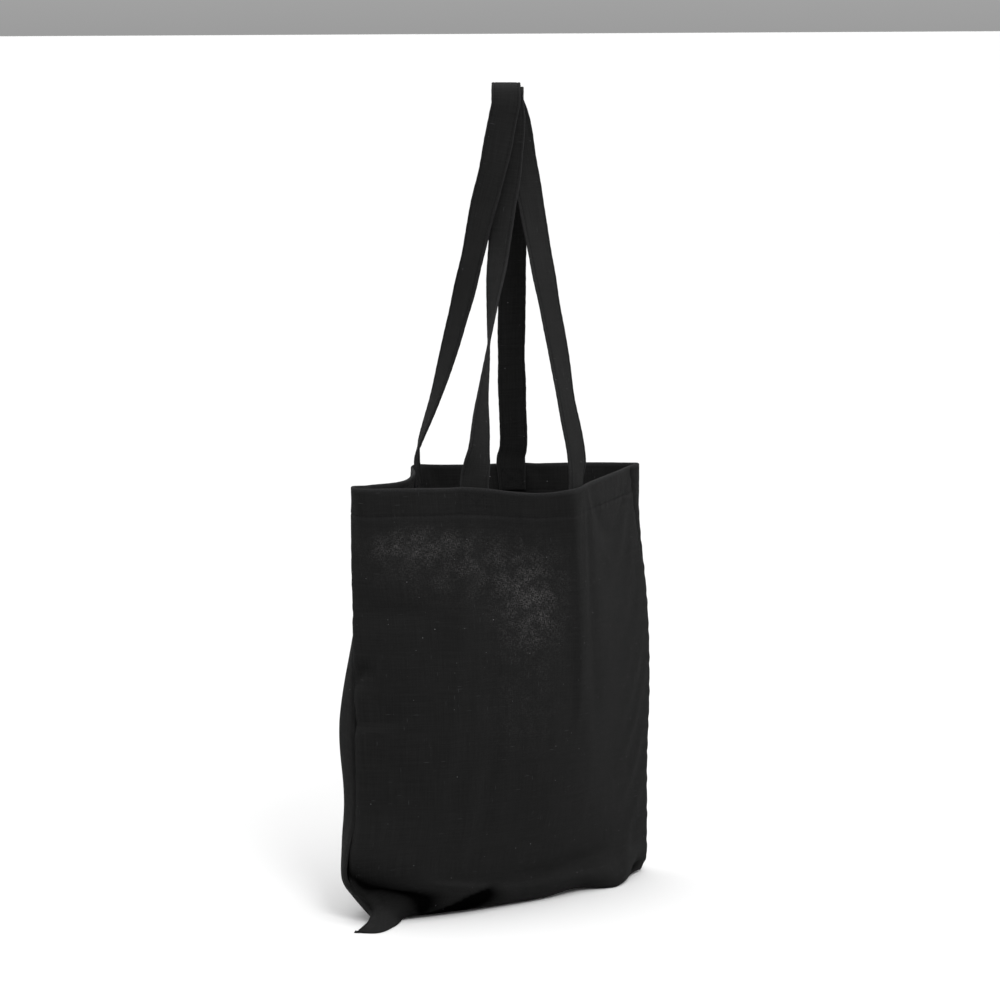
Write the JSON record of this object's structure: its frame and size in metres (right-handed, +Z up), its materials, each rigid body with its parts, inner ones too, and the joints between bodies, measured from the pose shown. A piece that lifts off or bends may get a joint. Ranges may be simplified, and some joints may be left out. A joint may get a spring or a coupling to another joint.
{
  "type": "canvas tote bag",
  "caption": "Open-topped canvas tote with a turned hem and two long strap handles drawn up over a hook or rail.",
  "frame": {"origin": "middle of the bag's box, on the surface that it stands on", "axes": "+Z up, front panel towards -Y, side seams towards -X and +X"},
  "size_m": [0.3558, 0.1942, 0.7492],
  "materials": {
    "canvas": "matt black plain-weave cotton",
    "strap_canvas": "matt black plain-weave cotton, folded and pressed",
    "thread": "black polyester sewing thread, slight sheen"
  },
  "bodies": {
    "bag": {"front_panel": "canvas", "back_panel": "canvas", "front_hem": "canvas", "back_hem": "canvas", "left_seam_allowance": "canvas", "right_seam_allowance": "canvas", "bottom_seam_allowance": "canvas", "front_left_strap_end": "strap_canvas", "front_right_strap_end": "strap_canvas", "back_left_strap_end": "strap_canvas", "back_right_strap_end": "strap_canvas", "front_hem_stitching": "thread", "back_hem_stitching": "thread", "front_left_boxed_cross": "thread", "front_right_boxed_cross": "thread", "back_left_boxed_cross": "thread", "back_right_boxed_cross": "thread", "left_seam_overlock": "thread", "right_seam_overlock": "thread", "bottom_seam_overlock": "thread"},
    "front_handle": {"front_handle": "strap_canvas", "front_handle_left_edge_stitching": "thread", "front_handle_right_edge_stitching": "thread"},
    "back_handle": {"back_handle": "strap_canvas", "back_handle_left_edge_stitching": "thread", "back_handle_right_edge_stitching": "thread"}
  },
  "joints": [
    {"name": "front_handle_fold", "type": "hinge", "parent": "bag", "child": "front_handle", "pos_m": [-0.0157, -0.0807, 0.388], "axis": [0.9161, -0.401, 0], "range_deg": [0, 170]},
    {"name": "back_handle_fold", "type": "hinge", "parent": "bag", "child": "back_handle", "pos_m": [0.0202, 0.0869, 0.3906], "axis": [-0.9511, 0.309, 0], "range_deg": [0, 170]}
  ]
}
